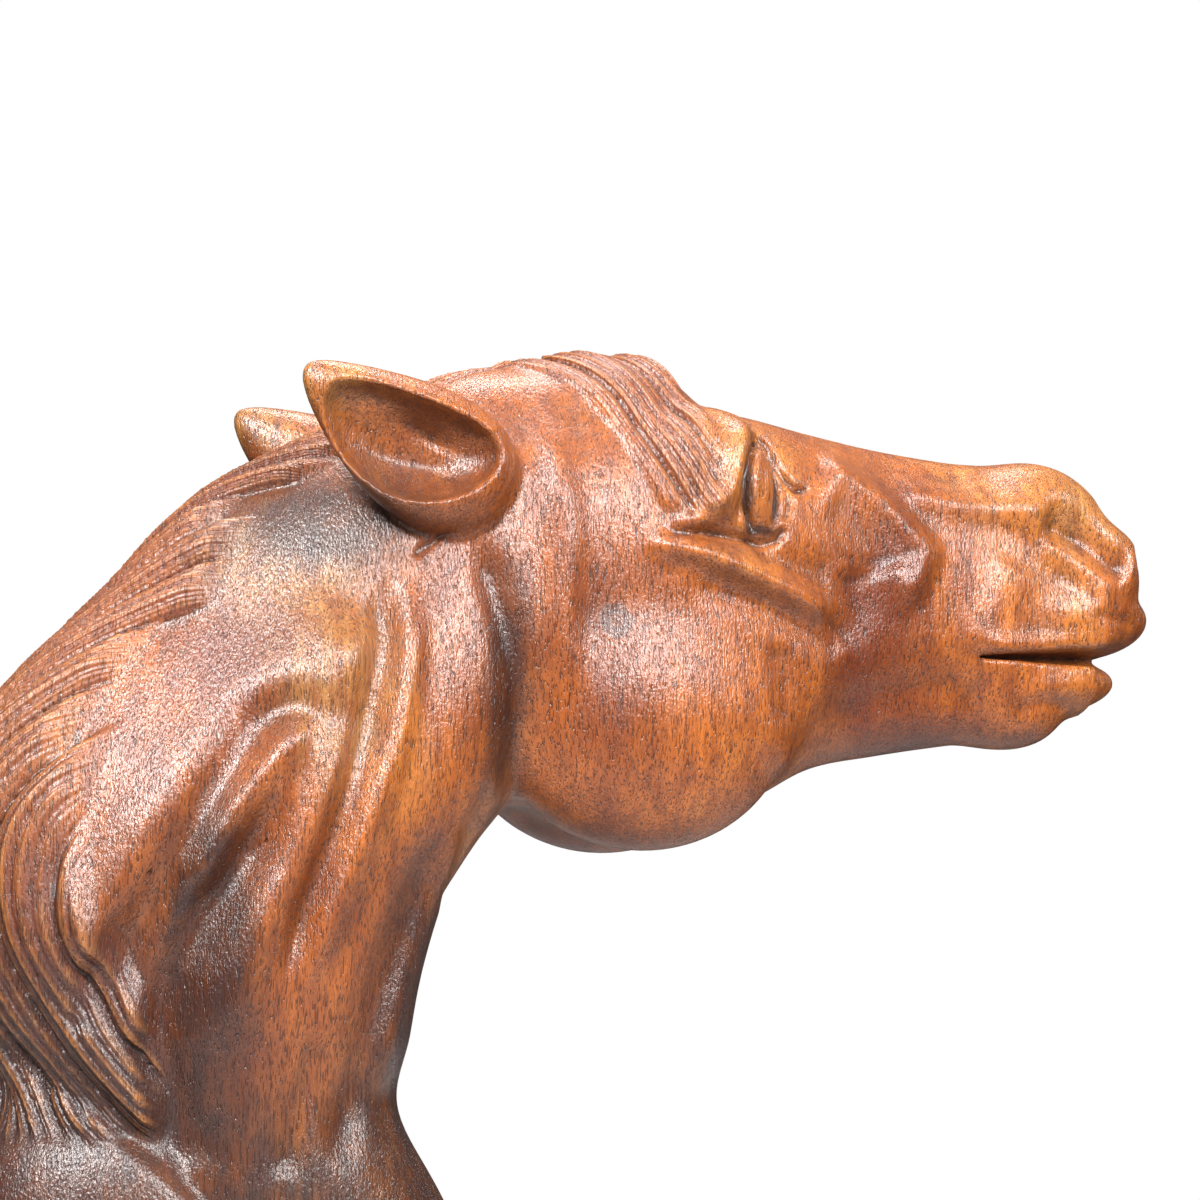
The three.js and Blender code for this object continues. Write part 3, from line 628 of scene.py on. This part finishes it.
class Nodes:
    """Adds shader nodes to a material, one line each."""

    def __init__(self, material):
        material.use_nodes = True
        self.tree = material.node_tree
        self.tree.nodes.clear()

    def add(self, kind, settings=None, **inputs):
        node = self.tree.nodes.new(kind)
        for name, value in (settings or {}).items():
            setattr(node, name, value)
        for name, value in inputs.items():
            self.feed(node, name.replace("_", " "), value)
        return node

    def feed(self, node, name, value):
        """Links or sets an input, which n and a number name by its place."""
        socket = node.inputs[int(name[1:])] if name[0] == "n" and name[1:].isdigit() else node.inputs[name]
        if isinstance(value, bpy.types.NodeSocket):
            self.tree.links.new(value, socket)
        else:
            socket.default_value = value

    def coordinates(self, stretch):
        """The piece's own coordinates in metres, times a stretch."""
        place = self.add("ShaderNodeTexCoord").outputs["Object"]
        return self.add("ShaderNodeMapping", Vector=place, Scale=stretch).outputs[0]

    def noise(self, stretch, scale, detail=3.0, roughness=0.55, distortion=0.0):
        vector = self.coordinates(stretch)
        node = self.add("ShaderNodeTexNoise", Vector=vector, Scale=scale, Detail=detail, Roughness=roughness)
        node.inputs["Distortion"].default_value = distortion
        return node.outputs[0]

    def ramp(self, value, *stops):
        """Colours or greys at places along a value."""
        node = self.add("ShaderNodeValToRGB", Fac=value)
        ramp = node.color_ramp
        ramp.elements[0].position, ramp.elements[1].position = stops[0][0], stops[-1][0]
        for place, _ in stops[1:-1]:
            ramp.elements.new(place)
        for element, (_, colour) in zip(ramp.elements, stops):
            element.color = (*colour, 1) if isinstance(colour, tuple) else (colour, colour, colour, 1)
        return node.outputs[0]

    def attribute(self, name):
        return self.add("ShaderNodeAttribute", {"attribute_name": name}).outputs["Fac"]

    def math(self, operation, a, b):
        return self.add("ShaderNodeMath", {"operation": operation}, n0=a, n1=b).outputs[0]

    def range(self, value, low, high, to_low=0.0, to_high=1.0):
        """Stretches low..high to to_low..to_high, and stops at both ends."""
        node = self.add("ShaderNodeMapRange", Value=value)
        for name, number in (("From Min", low), ("From Max", high), ("To Min", to_low), ("To Max", to_high)):
            node.inputs[name].default_value = number
        return node.outputs[0]

    def mix(self, factor, a, b):
        """Colour a turned to b by a factor from 0 to 1."""
        node = self.add("ShaderNodeMix", {"data_type": "RGBA"})
        self.feed(node, "n0", factor)
        self.feed(node, "n6", a)
        self.feed(node, "n7", b)
        return node.outputs[2]


# Colours of the wood, as light from 0 to 1
ORANGE = (0.36, 0.096, 0.014, 1)
TAN = (0.50, 0.19, 0.042, 1)
RED_BROWN = (0.12, 0.023, 0.005, 1)
DARK_BROWN = (0.020, 0.006, 0.004, 1)
HAIR_BROWN = (0.13, 0.034, 0.022, 1)
OCHRE = (0.42, 0.215, 0.06, 1)
KNOT_GREY = (0.08, 0.05, 0.045, 1)

GRAIN = (1, 1, 0.11)  # the grain runs up and down
GRAIN_DEPTH = 0.00026  # metres
FIBRES = 12  # fine fibres in a lock of hair
KNOT = (332, -124, 712)  # centre of the knot in the cheek, in carving units
KNOT_SIZE = 18  # its half width
KNOT_WOBBLE = 0.0016  # metres that its rings are out of round


def knot(nodes):
    """From 0 to 1 in rings round the knot in the cheek."""
    place = nodes.add("ShaderNodeTexCoord").outputs["Object"]
    centre = tuple(v * UNIT for v in KNOT)
    between = nodes.add("ShaderNodeVectorMath", {"operation": "DISTANCE"}, n0=place, n1=centre)
    distance = between.outputs["Value"]
    wobble = nodes.range(nodes.noise((1, 1, 1), 260.0), 0, 1, -KNOT_WOBBLE, KNOT_WOBBLE)
    away = nodes.math("ADD", distance, wobble)
    reach = nodes.range(away, 0, KNOT_SIZE * UNIT)
    return nodes.ramp(reach, (0.0, 0.6), (0.3, 0.4), (0.5, 0.95), (0.65, 0.5), (0.8, 0.8), (1.0, 0.0))


def stain_and_painted_shade(nodes, colour, hair, mottle, streaks):
    """The wood's colour with pale patches, brown hair, dark patches of painted shade with some stain,
    painted shade in grooves and hollows, and lighter raised tops of the locks.
    """
    pale = nodes.math("MULTIPLY", nodes.attribute("pale"), nodes.range(streaks, 0.3, 0.6, 0.6, 0.15))
    colour = nodes.mix(pale, colour, OCHRE)
    colour = nodes.mix(nodes.math("MULTIPLY", hair, 0.55), colour, HAIR_BROWN)
    # painted shade: the dark patches darken creases, the throat, the eye's rim and the space under the ear;
    # at the foot it is painted shade over stain
    dark = nodes.math("MULTIPLY", nodes.attribute("dark"), nodes.range(mottle, 0.3, 0.7, 0.75, 0.98))
    colour = nodes.mix(dark, colour, DARK_BROWN)
    # painted shade: darker in the grooves between strands and in creases and hollows
    groove = nodes.range(nodes.attribute("groove"), 0.1, 1.5, 0.0, 0.85)
    hollow = nodes.range(nodes.attribute("hollow"), 1.0, 11.0, 0.0, 0.75)
    colour = nodes.mix(nodes.math("MAXIMUM", groove, hollow), colour, DARK_BROWN)
    raised = nodes.range(nodes.attribute("groove"), -0.2, -1.4, 0.0, 0.5)
    return nodes.mix(nodes.math("MULTIPLY", raised, hair), colour, TAN)


def grain_height(nodes, hair, pores, lines):
    """Height of the open grain and of the fibres in the hair, for the bump."""
    fibres = nodes.math("SINE", nodes.math("MULTIPLY", nodes.attribute("strand"), FIBRES * 2 * math.pi), 0.0)
    height = nodes.math("MULTIPLY", nodes.math("MULTIPLY", fibres, hair), 0.4)
    height = nodes.math("SUBTRACT", height, nodes.math("MULTIPLY", pores, 1.0))
    height = nodes.math("SUBTRACT", height, lines)
    return nodes.math("ADD", height, nodes.math("MULTIPLY", nodes.noise((1, 1, 0.6), 1500.0, 2.0), 1.2))


def varnished_wood():
    """Red-brown wood with open grain under a satin varnish."""
    material = bpy.data.materials.new("varnished_wood")
    nodes = Nodes(material)
    broad = nodes.noise((1, 1, 0.5), 13.0, 4.0, 0.6)
    mottle = nodes.noise((1, 1, 0.4), 160.0, 4.0, 0.65)
    streaks = nodes.noise(GRAIN, 260.0, 4.0, 0.6, 0.3)
    lines = nodes.noise(GRAIN, 1000.0, 3.0, 0.65)
    pores = nodes.ramp(nodes.noise((1, 1, 0.1), 2400.0, 1.0), (0.56, 0.0), (0.66, 1.0))
    hair = nodes.attribute("hair")

    colour = nodes.ramp(broad, (0.32, RED_BROWN[:3]), (0.50, ORANGE[:3]), (0.74, TAN[:3]))
    colour = nodes.mix(nodes.range(mottle, 0.42, 0.68, 0.0, 0.5), colour, RED_BROWN)
    colour = nodes.mix(nodes.range(streaks, 0.4, 0.64, 0.0, 0.5), colour, RED_BROWN)
    colour = stain_and_painted_shade(nodes, colour, hair, mottle, streaks)
    colour = nodes.mix(knot(nodes), colour, KNOT_GREY)
    colour = nodes.mix(nodes.range(lines, 0.5, 0.7, 0.0, 0.55), colour, DARK_BROWN)
    colour = nodes.mix(nodes.math("MULTIPLY", pores, 0.7), colour, DARK_BROWN)

    height = grain_height(nodes, hair, pores, lines)
    bump = nodes.add("ShaderNodeBump", Strength=0.7, Distance=GRAIN_DEPTH, Height=height).outputs[0]
    roughness = nodes.range(mottle, 0.3, 0.7, 0.28, 0.44)
    roughness = nodes.math("ADD", roughness, nodes.math("MULTIPLY", hair, 0.08))
    shader = nodes.add("ShaderNodeBsdfPrincipled", Base_Color=colour, Roughness=roughness, Normal=bump)
    nodes.feed(shader, "Coat Normal", bump)
    shader.inputs["Specular IOR Level"].default_value = 0.4
    shader.inputs["Coat Weight"].default_value = 0.5
    shader.inputs["Coat Roughness"].default_value = 0.27
    output = nodes.add("ShaderNodeOutputMaterial")
    nodes.feed(output, "Surface", shader.outputs[0])
    return material


def pale_floor():
    """A small pale disc just under the bust."""
    bpy.ops.mesh.primitive_circle_add(vertices=96, radius=0.45, fill_type="NGON", location=(0.1, 0, -0.0002))
    floor = bpy.context.object
    floor.name = "floor"
    material = bpy.data.materials.new("pale_floor")
    material.use_nodes = True
    shader = material.node_tree.nodes["Principled BSDF"]
    shader.inputs["Base Color"].default_value = (0.36, 0.36, 0.36, 1)
    shader.inputs["Roughness"].default_value = 0.9
    floor.data.materials.append(material)


def studio_sky():
    """A white backdrop, and a dimmer light from above on the wood, which keeps the carving's contrast."""
    world = bpy.data.worlds.new("studio_sky")
    bpy.context.scene.world = world
    world.use_nodes = True
    tree = world.node_tree
    direction = tree.nodes.new("ShaderNodeTexCoord")
    parts = tree.nodes.new("ShaderNodeSeparateXYZ")
    tree.links.new(direction.outputs["Generated"], parts.inputs[0])
    height = tree.nodes.new("ShaderNodeMapRange")
    tree.links.new(parts.outputs[2], height.inputs["Value"])
    for name, number in (("From Min", -0.2), ("From Max", 0.9), ("To Min", 0.03), ("To Max", 0.35)):
        height.inputs[name].default_value = number
    backdrop = tree.nodes["Background"]
    backdrop.inputs["Color"].default_value = (1, 1, 1, 1)
    light = tree.nodes.new("ShaderNodeBackground")
    tree.links.new(height.outputs[0], light.inputs["Strength"])
    seen = tree.nodes.new("ShaderNodeLightPath")
    mixed = tree.nodes.new("ShaderNodeMixShader")
    tree.links.new(seen.outputs["Is Camera Ray"], mixed.inputs[0])
    tree.links.new(light.outputs[0], mixed.inputs[1])
    tree.links.new(backdrop.outputs[0], mixed.inputs[2])
    tree.links.new(mixed.outputs[0], tree.nodes["World Output"].inputs["Surface"])


def soft_light(name, place, target, size, power):
    """A soft square light, with place and target in metres."""
    data = bpy.data.lights.new(name, "AREA")
    data.shape = "RECTANGLE"
    data.size, data.size_y = size
    data.energy = power
    light = bpy.data.objects.new(name, data)
    light.location = place
    light.rotation_euler = (Vector(target) - Vector(place)).to_track_quat("-Z", "Y").to_euler()
    bpy.context.scene.collection.objects.link(light)


# Place and target in metres, size in metres, and power in watts
STUDIO_LIGHTS = {
    "key": ((-0.62, -0.95, 0.98), (0.1, 0, 0.2), (0.35, 0.3), 40),
    "front": ((0.5, -1.15, 0.72), (0.14, 0, 0.22), (0.35, 0.35), 26),
    "top": ((0.15, 0.1, 1.2), (0.1, 0, 0.2), (0.6, 0.25), 14),
}

# The photograph's view, in carving units and degrees
VIEW_TARGET = (360, 0, 745)
VIEW_DISTANCE = 3000
VIEW_AZIMUTH = -20
VIEW_ELEVATION = -6
VIEW_WIDTH = 1200  # how much of the distance's plane the picture spans


def camera():
    """The photograph's view."""
    data = bpy.data.cameras.new("camera")
    data.sensor_width = 36
    data.lens = data.sensor_width * VIEW_DISTANCE / VIEW_WIDTH
    data.clip_start = 0.01
    eye = bpy.data.objects.new("camera", data)
    a, e = math.radians(VIEW_AZIMUTH), math.radians(VIEW_ELEVATION)
    back = Vector((math.sin(a) * math.cos(e), -math.cos(a) * math.cos(e), math.sin(e)))
    eye.location = (Vector(VIEW_TARGET) + back * VIEW_DISTANCE) * UNIT
    eye.rotation_euler = (-back).to_track_quat("-Z", "Y").to_euler()
    bpy.context.scene.collection.objects.link(eye)
    bpy.context.scene.camera = eye


head = carve()
head.data.materials.clear()
head.data.materials.append(varnished_wood())
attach(head, "root")
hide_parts("horse_head")

pale_floor()
studio_sky()
for name, light in STUDIO_LIGHTS.items():
    soft_light(name, *light)
camera()
bpy.context.scene.view_settings.view_transform = "Standard"
